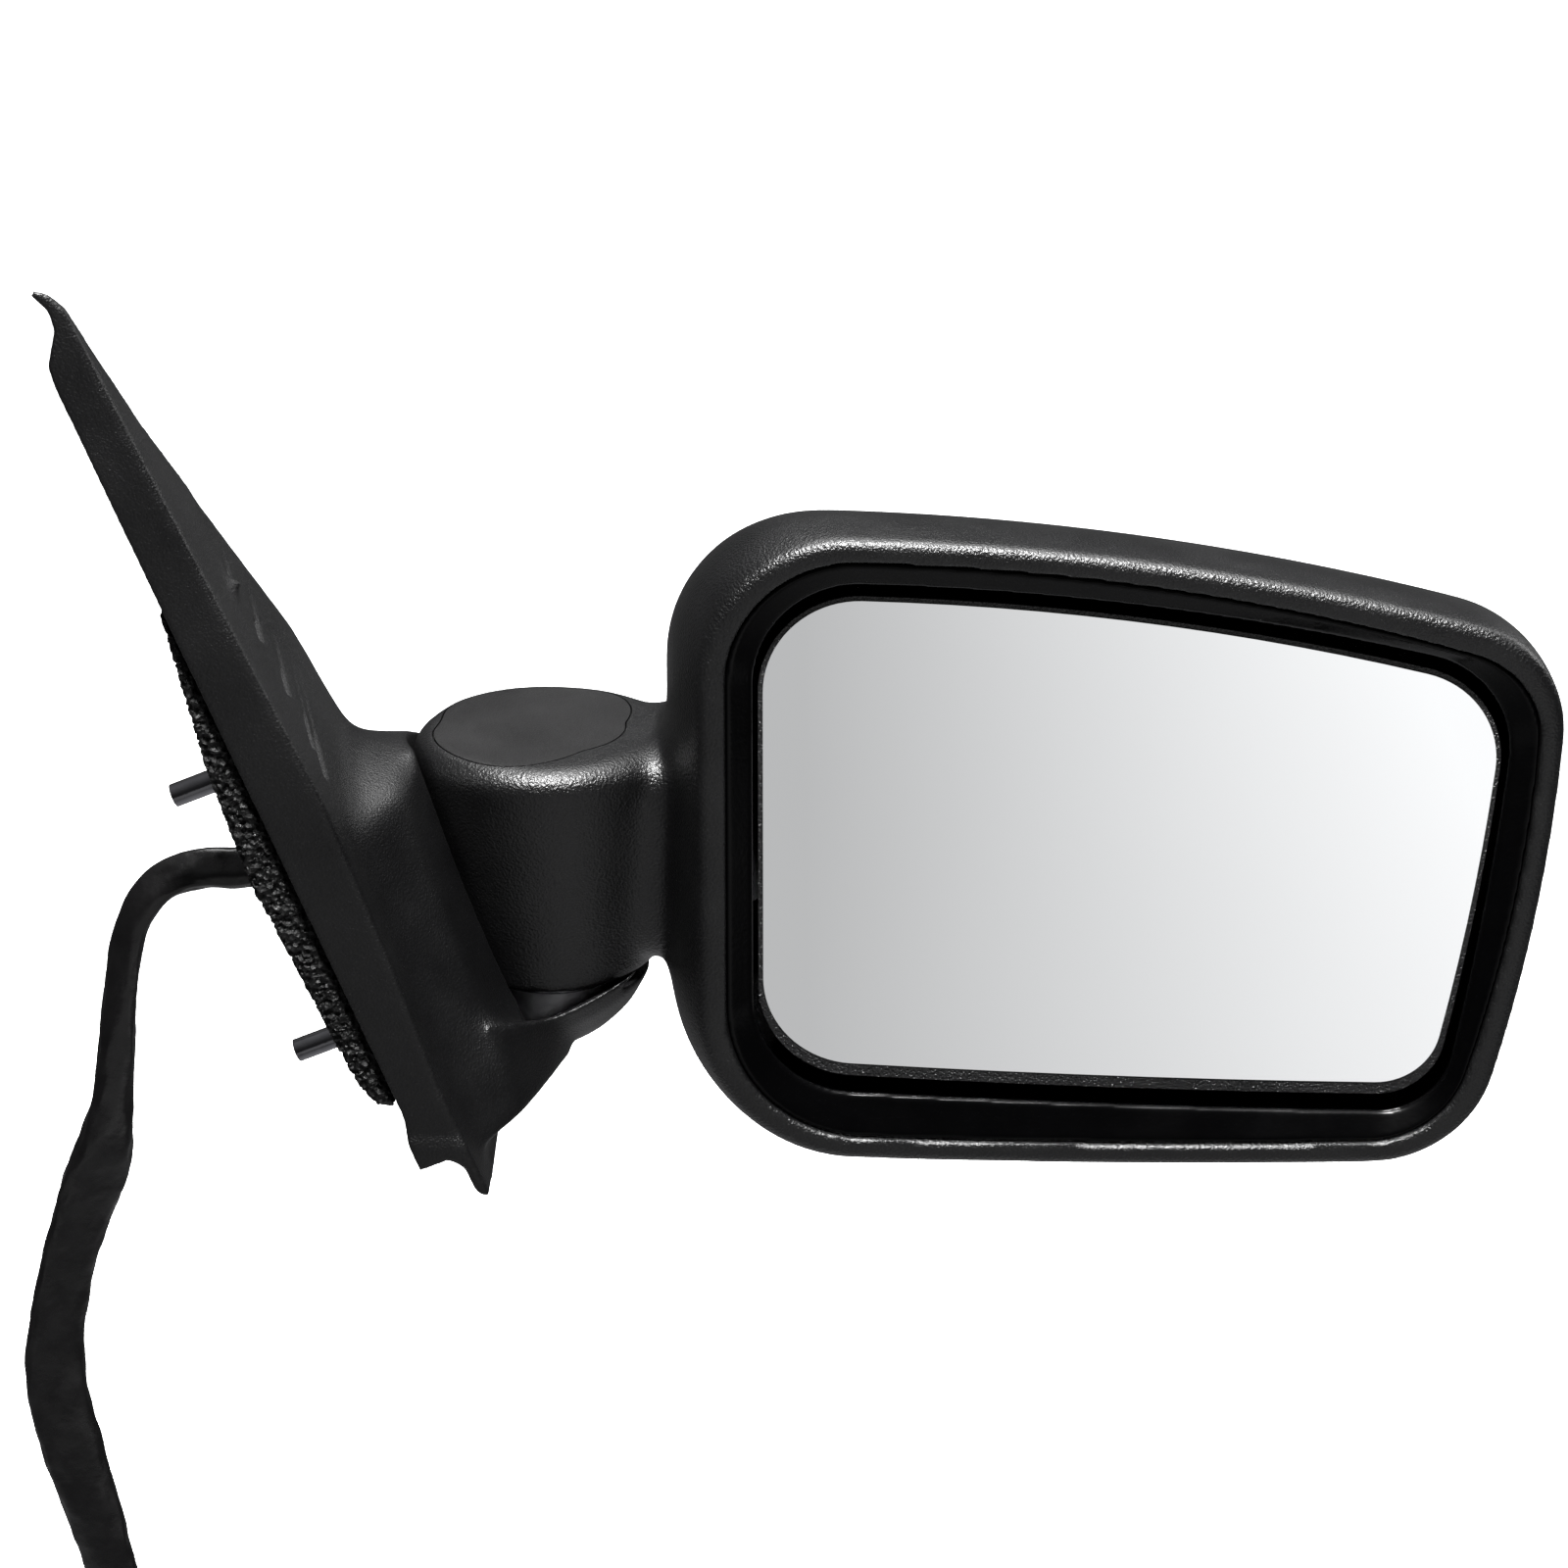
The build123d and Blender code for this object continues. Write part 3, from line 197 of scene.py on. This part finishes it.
# ---------------------------------------------------------------- materials
class Surface:
    """A Principled material with helpers for bump, colour variation and roughness variation."""

    def __init__(self, name, colour, roughness, metallic=0.0, specular=0.5):
        self.mat = bpy.data.materials.new(name)
        self.mat.use_nodes = True
        self.tree = self.mat.node_tree
        self.shader = self.tree.nodes["Principled BSDF"]
        self.set("Base Color", (*colour, 1))
        self.set("Roughness", roughness)
        self.set("Metallic", metallic)
        self.set("Specular IOR Level", specular)
        self.colour = colour
        self.coord = self.tree.nodes.new("ShaderNodeTexCoord").outputs["Object"]
        self.normal = None

    def set(self, socket, value):
        self.shader.inputs[socket].default_value = value

    def stretch(self, scale):
        mapping = self.tree.nodes.new("ShaderNodeMapping")
        self.tree.links.new(self.coord, mapping.inputs["Vector"])
        mapping.inputs["Scale"].default_value = scale
        return mapping.outputs[0]

    def noise(self, scale, detail=3.0, rough=0.55, vector=None):
        node = self.tree.nodes.new("ShaderNodeTexNoise")
        node.inputs["Scale"].default_value = scale
        node.inputs["Detail"].default_value = detail
        node.inputs["Roughness"].default_value = rough
        self.tree.links.new(vector or self.coord, node.inputs["Vector"])
        return node.outputs["Fac"]

    def cells(self, scale, feature="F1", vector=None):
        node = self.tree.nodes.new("ShaderNodeTexVoronoi")
        node.feature = feature
        node.inputs["Scale"].default_value = scale
        self.tree.links.new(vector or self.coord, node.inputs["Vector"])
        return node.outputs["Distance"]

    def remap(self, value, low, high, out_low, out_high):
        node = self.tree.nodes.new("ShaderNodeMapRange")
        sockets = ("From Min", "From Max", "To Min", "To Max")
        for socket, number in zip(sockets, (low, high, out_low, out_high)):
            node.inputs[socket].default_value = number
        self.tree.links.new(value, node.inputs["Value"])
        return node.outputs[0]

    def bump(self, height, distance, strength=1.0):
        node = self.tree.nodes.new("ShaderNodeBump")
        node.inputs["Distance"].default_value = distance
        node.inputs["Strength"].default_value = strength
        self.tree.links.new(height, node.inputs["Height"])
        if self.normal:
            self.tree.links.new(self.normal, node.inputs["Normal"])
        self.normal = node.outputs[0]
        self.tree.links.new(self.normal, self.shader.inputs["Normal"])

    def vary_roughness(self, value, low, high, out_low, out_high):
        rough = self.remap(value, low, high, out_low, out_high)
        self.tree.links.new(rough, self.shader.inputs["Roughness"])

    def vary_colour(self, value, dark, light, low=0.35, high=0.65):
        ramp = self.tree.nodes.new("ShaderNodeValToRGB")
        ramp.color_ramp.elements[0].position = low
        ramp.color_ramp.elements[1].position = high
        ramp.color_ramp.elements[0].color = (*[c * dark for c in self.colour], 1)
        ramp.color_ramp.elements[1].color = (*[c * light for c in self.colour], 1)
        self.tree.links.new(value, ramp.inputs[0])
        self.tree.links.new(ramp.outputs[0], self.shader.inputs["Base Color"])


def grained(name, colour, roughness, grain, depth, specular=0.5):
    """Moulded plastic: leather-like cells with a finer noise over them."""
    s = Surface(name, colour, roughness, specular=specular)
    s.bump(s.cells(1000.0 / grain, "SMOOTH_F1"), depth)
    s.bump(s.noise(2200.0 / grain, 2.0), depth * 0.5)
    s.vary_roughness(s.noise(45.0, 4.0), 0.3, 0.7, roughness - 0.05, roughness + 0.07)
    s.vary_colour(s.noise(700.0 / grain, 2.0), 0.82, 1.25)
    return s.mat


def smooth_plastic(name, colour, roughness, specular=0.5):
    s = Surface(name, colour, roughness, specular=specular)
    s.bump(s.noise(900.0, 2.0), 0.00003)
    s.vary_roughness(s.noise(60.0, 5.0), 0.3, 0.7, roughness - 0.04, roughness + 0.08)
    s.vary_colour(s.noise(120.0, 3.0), 0.9, 1.15)
    return s.mat


def foam():
    s = Surface("foam", (0.0006, 0.0006, 0.00065), 0.45, specular=0.22)
    s.bump(s.cells(620.0), 0.0011)
    s.bump(s.noise(1500.0, 3.0), 0.0004)
    s.vary_colour(s.cells(620.0), 2.0, 0.25, 0.15, 0.75)
    s.vary_roughness(s.noise(500.0), 0.35, 0.7, 0.25, 0.8)
    return s.mat


def vinyl():
    s = Surface("vinyl", (0.0014, 0.0013, 0.0014), 0.30, specular=0.4)
    s.bump(s.noise(90.0, 3.0, 0.5), 0.0006)
    s.bump(s.noise(2600.0, 2.0), 0.00004)
    s.vary_roughness(s.noise(150.0, 4.0), 0.3, 0.7, 0.2, 0.34)
    s.vary_colour(s.noise(90.0, 3.0), 0.8, 1.3)
    return s.mat


def metal(name, colour, roughness, grain=1500.0, depth=0.00003, stretch=None):
    s = Surface(name, colour, roughness, metallic=1.0)
    vector = s.stretch(stretch) if stretch else None
    s.bump(s.noise(grain, 3.0, vector=vector), depth)
    streaks = s.noise(grain / 5, 4.0, vector=vector)
    s.vary_roughness(streaks, 0.3, 0.7, roughness * 0.75, roughness * 1.4)
    s.vary_colour(s.noise(grain / 12, 3.0), 0.85, 1.1)
    return s.mat


def mirror():
    s = Surface("mirror_glass", (0.93, 0.94, 0.95), 0.012, metallic=1.0)
    s.vary_roughness(s.noise(25.0, 3.0), 0.3, 0.7, 0.008, 0.02)
    s.vary_colour(s.noise(6.0, 2.0), 0.99, 1.01)
    return s.mat


def woven(name, colour, pitch):
    s = Surface(name, colour, 0.7)
    wave = s.tree.nodes.new("ShaderNodeTexWave")
    wave.inputs["Scale"].default_value = 1.0 / pitch
    wave.inputs["Distortion"].default_value = 1.5
    s.tree.links.new(s.coord, wave.inputs["Vector"])
    s.bump(wave.outputs["Fac"], 0.0002)
    s.vary_colour(wave.outputs["Fac"], 0.7, 1.4)
    return s.mat


MATERIALS = {
    "shell_plastic": grained("shell_plastic", (0.0010, 0.0010, 0.0011), 0.33, 0.6, 0.00018, 0.42),
    "sail_plastic": grained("sail_plastic", (0.0010, 0.0010, 0.0011), 0.38, 0.5, 0.00015, 0.30),
    "cap_plastic": grained("cap_plastic", (0.0014, 0.00135, 0.0014), 0.42, 0.45, 0.00009, 0.34),
    "holder_plastic": grained("holder_plastic", (0.0025, 0.0025, 0.0027), 0.30, 0.6, 0.00034, 0.6),
    "bezel_plastic": smooth_plastic("bezel_plastic", (0.0003, 0.0003, 0.00035), 0.16, 0.08),
    "case_plastic": grained("case_plastic", (0.03, 0.03, 0.033), 0.5, 0.4, 0.00005),
    "plug_plastic": grained("plug_plastic", (0.014, 0.014, 0.016), 0.42, 0.3, 0.00004),
    "gear_plastic": smooth_plastic("gear_plastic", (0.70, 0.67, 0.60), 0.38),
    "bush_plastic": smooth_plastic("bush_plastic", (0.66, 0.65, 0.60), 0.36),
    "foam": foam(),
    "vinyl": vinyl(),
    "rubber": grained("rubber", (0.007, 0.007, 0.007), 0.55, 0.7, 0.00006),
    "tape": woven("tape", (0.01, 0.01, 0.0105), 0.0006),
    "heater": woven("heater", (0.20, 0.06, 0.045), 0.004),
    "steel": metal("steel", (0.13, 0.13, 0.138), 0.11),
    "detent_steel": metal("detent_steel", (0.22, 0.22, 0.235), 0.3),
    "motor_can": metal("motor_can", (0.52, 0.52, 0.54), 0.25, stretch=(1, 1, 30)),
    "cast_metal": metal("cast_metal", (0.42, 0.42, 0.44), 0.5, 700.0, 0.00012),
    "brass": metal("brass", (0.62, 0.42, 0.15), 0.25),
    "terminal": metal("terminal", (0.70, 0.65, 0.52), 0.25),
    "mirror_glass": mirror(),
}


# ---------------------------------------------------------------- mesh tools
def new_object(name, mesh):
    obj = bpy.data.objects.new(name, mesh)
    bpy.context.scene.collection.objects.link(obj)
    return obj


def baked(obj):
    """The object's mesh with its modifiers applied."""
    depsgraph = bpy.context.evaluated_depsgraph_get()
    mesh = bpy.data.meshes.new_from_object(obj.evaluated_get(depsgraph))
    obj.modifiers.clear()
    old = obj.data
    obj.data = mesh
    bpy.data.meshes.remove(old)


def coords(mesh):
    """The mesh's points in mm."""
    flat = np.empty(len(mesh.vertices) * 3)
    mesh.vertices.foreach_get("co", flat)
    return flat.reshape(-1, 3) * 1000.0


def put_coords(mesh, points):
    """Moves the mesh's points to the given places in mm."""
    mesh.vertices.foreach_set("co", (points / 1000.0).astype(np.float32).ravel())
    mesh.update()


def neighbours(mesh):
    """A function that gives every point's neighbours' mean place."""
    edges = np.empty(len(mesh.edges) * 2, np.int64)
    mesh.edges.foreach_get("vertices", edges)
    a, b = edges.reshape(-1, 2).T
    size = len(mesh.vertices)
    count = np.bincount(np.concatenate([a, b]), minlength=size)[:, None]

    def mean(points):
        total = [np.bincount(a, points[b, k], size) + np.bincount(b, points[a, k], size)
                 for k in range(3)]
        return np.stack(total, axis=1) / count
    return mean


def relax(mesh, weight, rounds):
    """Laplacian smoothing; weight says how far each point follows its neighbours."""
    mean, points = neighbours(mesh), coords(mesh)
    half = (0.5 * weight)[:, None]
    for _ in range(rounds):
        points += half * (mean(points) - points)
    put_coords(mesh, points)


def fill_hollows(mesh, weight, rounds):
    """Smoothing that only adds material: hollows soften and outer edges stay where they are."""
    mean, points = neighbours(mesh), coords(mesh)
    for k in range(rounds):
        if k % 20 == 0:
            put_coords(mesh, points)
            normals = surface_normals(mesh)
        rise = ((mean(points) - points) * normals).sum(axis=1)
        points += (0.5 * weight * np.maximum(rise, 0))[:, None] * normals
    put_coords(mesh, points)


def surface_normals(mesh):
    normals = np.empty(len(mesh.vertices) * 3, np.float32)
    mesh.vertex_normals.foreach_get("vector", normals)
    return normals.reshape(-1, 3).astype(np.float64)


def skin(name, voxel, *solids):
    """A new object with an even quad skin over the given objects' solids."""
    bm = bmesh.new()
    for solid in solids:
        bm.from_mesh(solid.data)
    mesh = bpy.data.meshes.new(name)
    bm.to_mesh(mesh)
    bm.free()
    obj = new_object(name, mesh)
    remesh = obj.modifiers.new("remesh", "REMESH")
    remesh.mode = "VOXEL"
    remesh.voxel_size = voxel * MM
    baked(obj)
    return obj


def shade_smooth(mesh):
    mesh.polygons.foreach_set("use_smooth", np.ones(len(mesh.polygons), bool))


def finish_piece(obj, body, slot, *nodes):
    obj.data.materials.clear()
    obj.data.materials.append(MATERIALS[slot])
    shade_smooth(obj.data)
    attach(obj, body)
    if nodes:
        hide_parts(*nodes)
    return obj


def ramp(value, low, high):
    """Smooth step, from 0 at low to 1 at high."""
    t = np.clip((value - low) / (high - low), 0, 1)
    return t * t * (3 - 2 * t)


# ---------------------------------------------------------------- head
def prism(name, outline, grow, z0, z1):
    """Upright prism on a closed outline, grown about its middle; mm."""
    middle = outline.mean(axis=0)
    arms = outline - middle
    length = np.linalg.norm(arms, axis=1)[:, None]
    ring = middle + arms * (length + grow) / length
    n = len(ring)
    verts = [(x * MM, y * MM, z * MM) for z in (z0, z1) for x, y in ring]
    faces = [(k, (k + 1) % n, n + (k + 1) % n, n + k) for k in range(n)]
    faces += [tuple(range(n))[::-1], tuple(range(n, 2 * n))]
    mesh = bpy.data.meshes.new(name)
    mesh.from_pydata(verts, [], faces)
    return new_object(name, mesh)


def cap_outline():
    """Outline of the pivot cap in plan, mm, in order round it."""
    p = coords(NODES["pivot_cap"].data)
    middle = p[:, :2].mean(axis=0)
    angle = np.arctan2(p[:, 1] - middle[1], p[:, 0] - middle[0])
    radius = np.linalg.norm(p[:, :2] - middle, axis=1)
    sector = ((angle / math.tau + 0.5) * CAP_SECTORS).astype(int) % CAP_SECTORS
    reach = np.array([radius[sector == k].max() for k in range(CAP_SECTORS)])
    reach = 0.25 * np.roll(reach, 1) + 0.5 * reach + 0.25 * np.roll(reach, -1)
    centre = (np.arange(CAP_SECTORS) + 0.5) / CAP_SECTORS * math.tau - math.pi
    return middle + np.stack([np.cos(centre), np.sin(centre)], axis=1) * reach[:, None]


def cut(obj, cutter, operation):
    step = obj.modifiers.new("cut", "BOOLEAN")
    step.operation = operation
    step.object = cutter
    step.solver = "EXACT"
    baked(obj)
    remove(cutter)


def remove(obj):
    mesh = obj.data
    bpy.data.objects.remove(obj)
    bpy.data.meshes.remove(mesh)


def head_skin():
    # the well under the pivot cap is plugged, so that cap and shell are cut from one smooth surface
    outline = cap_outline()
    plug = prism("cap_plug", outline, *CAP_PLUG)
    obj = skin("head_shell_skin", HEAD_VOXEL, NODES["head_shell"], plug)
    remove(plug)
    p = coords(obj.data)
    relax(obj.data, np.ones(len(p)), 6)
    # the neck runs softly into the knuckle and the shell, and the shell's back is one long curve
    far = np.linalg.norm(p[:, :2] - outline.mean(axis=0), axis=1)
    topside = ramp(p[:, 2], -12, -9) * (1 - ramp(far, 32, 37))
    neck = ramp(p[:, 0], 74, 88) * (1 - ramp(p[:, 0], 110, 120)) * ramp(p[:, 1], 2, 10)
    neck *= 1 - topside
    back = ramp(p[:, 1], 26, 40) * ramp(p[:, 0], 112, 126)
    fill_hollows(obj.data, neck, 160)
    relax(obj.data, neck, 24)
    relax(obj.data, back, 90)
    cap = new_object("pivot_cap_skin", obj.data.copy())
    cut(cap, prism("cap_keep", outline, *CAP_KEEP), "INTERSECT")
    cut(obj, prism("cap_seat", outline, *CAP_SEAT), "DIFFERENCE")
    finish_piece(cap, "head", "cap_plastic", "pivot_cap")
    finish_piece(obj, "head", "shell_plastic", "head_shell")
    for piece in (obj, cap):
        crisp_edges(piece)


def crisp_edges(obj):
    """Smooth shading that keeps edges sharper than CRISP_ANGLE."""
    bm = bmesh.new()
    bm.from_mesh(obj.data)
    for edge in bm.edges:
        if len(edge.link_faces) == 2 and edge.calc_face_angle(0) > CRISP_ANGLE:
            edge.smooth = False
    bm.to_mesh(obj.data)
    bm.free()


def bezel_skin():
    obj = skin("bezel_skin", BEZEL_VOXEL, NODES["bezel"])
    relax(obj.data, np.ones(len(obj.data.vertices)), 3)
    finish_piece(obj, "head", "bezel_plastic", "bezel")


# Flutes: lower rear end (forward, up the slope) and length, mm.
FLUTES = [(-5.2, 46.5, 12), (-4.5, 30, 19), (-5.5, 15, 24), (-8, 0.5, 32), (-11, -7, 38)]
FLUTE_TURN = math.radians(42)
GROOVE_DEPTH, SLIT_DEPTH = 0.55, 1.0                                       # mm


def press_flutes(mesh):
    """Grooves in the sail's face: deepest at the lower end, fading out upwards."""
    p = coords(mesh)
    facing = ramp(surface_normals(mesh) @ OUT, 0.2, 0.6) * ramp(p @ OUT, 10.5, 11.5)
    plan = np.stack([p[:, 1], p @ UP], axis=1)
    along = np.array((math.cos(FLUTE_TURN), math.sin(FLUTE_TURN)))
    deep = np.zeros(len(p))
    for c, b, length in FLUTES:
        t = (plan - (c, b)) @ along
        aside = np.abs((plan - (c, b)) @ (-along[1], along[0]))
        run = ramp(t, -0.5, 1.2) * np.clip(1 - t / length, 0, 1)
        deep = np.maximum(deep, GROOVE_DEPTH * run * (1 - ramp(aside, 0.6, 2.4)))
        slit = ramp(t, -0.3, 0.8) * (1 - ramp(t, 0.2 * length, 0.5 * length))
        deep = np.maximum(deep, SLIT_DEPTH * slit * (1 - ramp(aside, 0.5, 1.5)))
    put_coords(mesh, p - (deep * facing)[:, None] * OUT)


def sail_skin():
    obj = skin("sail_skin", SAIL_VOXEL, NODES["sail_cover"])
    p = coords(obj.data)
    off, up, forward = p @ OUT, p @ UP, p[:, 1]
    # the flutes are filled here and pressed in again at the end
    relax(obj.data, np.ones(len(p)), 6)
    fluted = ramp(forward, -20, -16) * ramp(up, -12, -6) * (1 - ramp(up, 66, 72))
    fluted *= ramp(off, 10, 12)
    fill_hollows(obj.data, fluted, 90)
    relax(obj.data, fluted, 30)
    ridge = (1 - ramp(forward, -21, -15)) * ramp(off, 6, 9) * (1 - ramp(up, 110, 122))
    relax(obj.data, ridge, 14)
    # the lip round the knuckle stays crisp
    boss = ramp(forward, -25, -20) * (1 - ramp(up, 4, 24)) * ramp(off, 8, 10)
    boss *= ramp(up, -119, -112)
    around = np.linalg.norm(p[:, :2] - PIVOT, axis=1)
    recess = 27.0 + (p[:, 2] + 70) * 10 / 63.5
    lip = 1 - ramp(around - recess, 1.0, 5)
    under = up < -93
    lip[under] = (1 - ramp(around[under], 29.0, 32)) * ramp(up[under], -99, -96.5)
    fill_hollows(obj.data, boss * (1 - lip), 200)
    relax(obj.data, boss * (1 - 0.9 * lip), 30)
    shoulder = boss * ramp(up, -34, -10) * (1 - lip)
    relax(obj.data, shoulder, 200)
    # the bottom end of the strip flares a little towards the door
    p = coords(obj.data)
    end = (1 - ramp(p @ UP, -106, -90)) * (1 - ramp(p[:, 1], -22, -8))
    end *= 1 - ramp(p @ OUT, 7, 11.5)
    p -= end[:, None] * np.array((3.2, 0, -3.0))
    p[:, 1] -= 0.9 * (1 - ramp(p[:, 2], -94, -89)) * (1 - ramp(p[:, 1], -24, -20))
    put_coords(obj.data, p)
    # where the rim leaves the ramp's crease it is a small soft corner
    corner = ramp(p @ UP, -98, -94) * (1 - ramp(p @ UP, -80, -74)) * ramp(p[:, 1], -16, -12)
    corner *= (1 - ramp(p[:, 1], 2, 8)) * ramp(p @ OUT, 18, 21)
    relax(obj.data, corner, 40)
    press_flutes(obj.data)
    finish_piece(obj, "door_base", "sail_plastic", "sail_cover")


def gasket_skin():
    """Open-cell foam: every cell is a pit between thin walls."""
    obj = skin("foam_gasket_skin", FOAM_VOXEL, NODES["foam_gasket"])
    relax(obj.data, np.ones(len(obj.data.vertices)), 16)
    p = coords(obj.data)
    normals = surface_normals(obj.data)
    near = np.array([noise.voronoi(Vector(q) * 0.46)[0][:2] for q in p])
    wall = 1 - ramp(near[:, 1] - near[:, 0], 0.05, 0.42)
    fine = np.array([noise.noise(Vector(q) * 0.9) for q in p])
    put_coords(obj.data, p + normals * (wall * 1.1 - 0.7 + fine * 0.3)[:, None])
    finish_piece(obj, "door_base", "foam", "foam_gasket")


# ---------------------------------------------------------------- harness
# Route of the sleeve, mm: out of the grommet, over the fold, then hanging to the connector.
ROUTE = [(5.5, 20, -32.3), (-6, 20, -37), (-20, 20, -36), (-31.5, 20, -41), (-38.5, 19.5, -53),
         (-41.5, 19, -71), (-43.5, 18.5, -92), (-47, 18, -114), (-55, 18, -135), (-61.5, 18, -157),
         (-65, 18.5, -181), (-61, 19, -205), (-55, 20, -229), (-51, 21, -254), (-53, 22, -279),
         (-57, 22, -303)]
SLEEVE_RINGS, SLEEVE_SIDES = 420, 48


def route_points():
    """Even points along the route's NURBS line, in mm."""
    curve = bpy.data.curves.new("route", "CURVE")
    curve.dimensions = "3D"
    curve.resolution_u = 24
    line = curve.splines.new("NURBS")
    line.points.add(len(ROUTE) - 1)
    for point, place in zip(line.points, ROUTE):
        point.co = (*[c * MM for c in place], 1)
    line.order_u = 3
    line.use_endpoint_u = True
    obj = new_object("route", curve)
    mesh = bpy.data.meshes.new_from_object(obj)
    points = coords(mesh)
    bpy.data.objects.remove(obj)
    steps = np.r_[0, np.cumsum(np.linalg.norm(np.diff(points, axis=0), axis=1))]
    even = np.linspace(0, steps[-1], SLEEVE_RINGS)
    return np.stack([np.interp(even, steps, points[:, k]) for k in range(3)], axis=1), even


def wrinkles(s, along, a, around):
    """Noise down one line of the sleeve, at angle a round it."""
    c, d = around * math.cos(a), around * math.sin(a)
    return np.array([noise.noise(Vector((t * along, c, d))) for t in s])


def sleeve():
    """Flattened vinyl sleeve: narrow at the top, wide and twisted lower down, with a fold on one side."""
    line, s = route_points()
    tangent = np.gradient(line, axis=0)
    tangent /= np.linalg.norm(tangent, axis=1)[:, None]
    side = np.cross(tangent, (0, 1, 0))
    side /= np.linalg.norm(side, axis=1)[:, None]
    other = np.cross(tangent, side)
    # half width and half thickness in mm, and twist in radians, along the sleeve
    wide = 4.9 + 2.9 * ramp(s, 96, 122) - 2.2 * ramp(s, 250, 290)
    wide += 0.35 * np.sin(s / 14.0) + 0.5 * np.exp(-((s - 128) / 7) ** 2)
    thick = 2.7 + 0.35 * np.sin(s / 19.0 + 2) + 0.9 * np.exp(-((s - 112) / 9) ** 2)
    twist = 0.45 * np.sin(s / 38.0 + 0.6) + 0.12 * np.sin(s / 21.0)
    around = SLEEVE_SIDES
    rows = []
    for k in range(around):
        a = 2 * math.pi * k / around
        x = np.sign(math.cos(a)) * abs(math.cos(a)) ** 0.8
        y = np.sign(math.sin(a)) * abs(math.sin(a)) ** 0.9
        fold = 0.55 * np.exp(-((a - 4.35 - 0.25 * np.sin(s / 22.0)) / 0.22) ** 2)
        fold *= 0.35 + ramp(s, 60, 120)
        crease = wrinkles(s, 0.11, a, 2.3)
        fine = wrinkles(s, 0.32, a, 4)
        swell = 1 - fold + 0.08 * crease + 0.02 * fine
        u, v = x * wide * swell, y * thick * swell
        across = u * np.cos(twist) - v * np.sin(twist)
        along = u * np.sin(twist) + v * np.cos(twist)
        rows.append(line + side * across[:, None] + other * along[:, None])
    grid = np.stack(rows, axis=1)
    n = len(line)
    faces = [(i * around + k, i * around + (k + 1) % around,
              (i + 1) * around + (k + 1) % around, (i + 1) * around + k)
             for i in range(n - 1) for k in range(around)]
    faces += [tuple(range(around))[::-1], tuple((n - 1) * around + k for k in range(around))]
    mesh = bpy.data.meshes.new("cable_sleeve_skin")
    mesh.from_pydata((grid.reshape(-1, 3) * MM).tolist(), [], faces)
    obj = finish_piece(new_object("cable_sleeve_skin", mesh), "door_base", "vinyl", "cable_sleeve")


# ---------------------------------------------------------------- carried-over CAD parts
def dress_cad():
    slots = {row["node"]: row["material_slot"] for row in frame["record"]["subparts"]}
    for name, obj in NODES.items():
        obj.data.materials.clear()
        obj.data.materials.append(MATERIALS[slots[name]])
        edge = obj.modifiers.new("edge", "BEVEL")
        edge.width = BEVEL_WIDTH * MM
        edge.segments = 2
        edge.limit_method = "ANGLE"
        edge.angle_limit = BEVEL_ANGLE
        edge.harden_normals = True


add_camera()
add_studio()
sleeve()
dress_cad()
head_skin()
bezel_skin()
sail_skin()
gasket_skin()
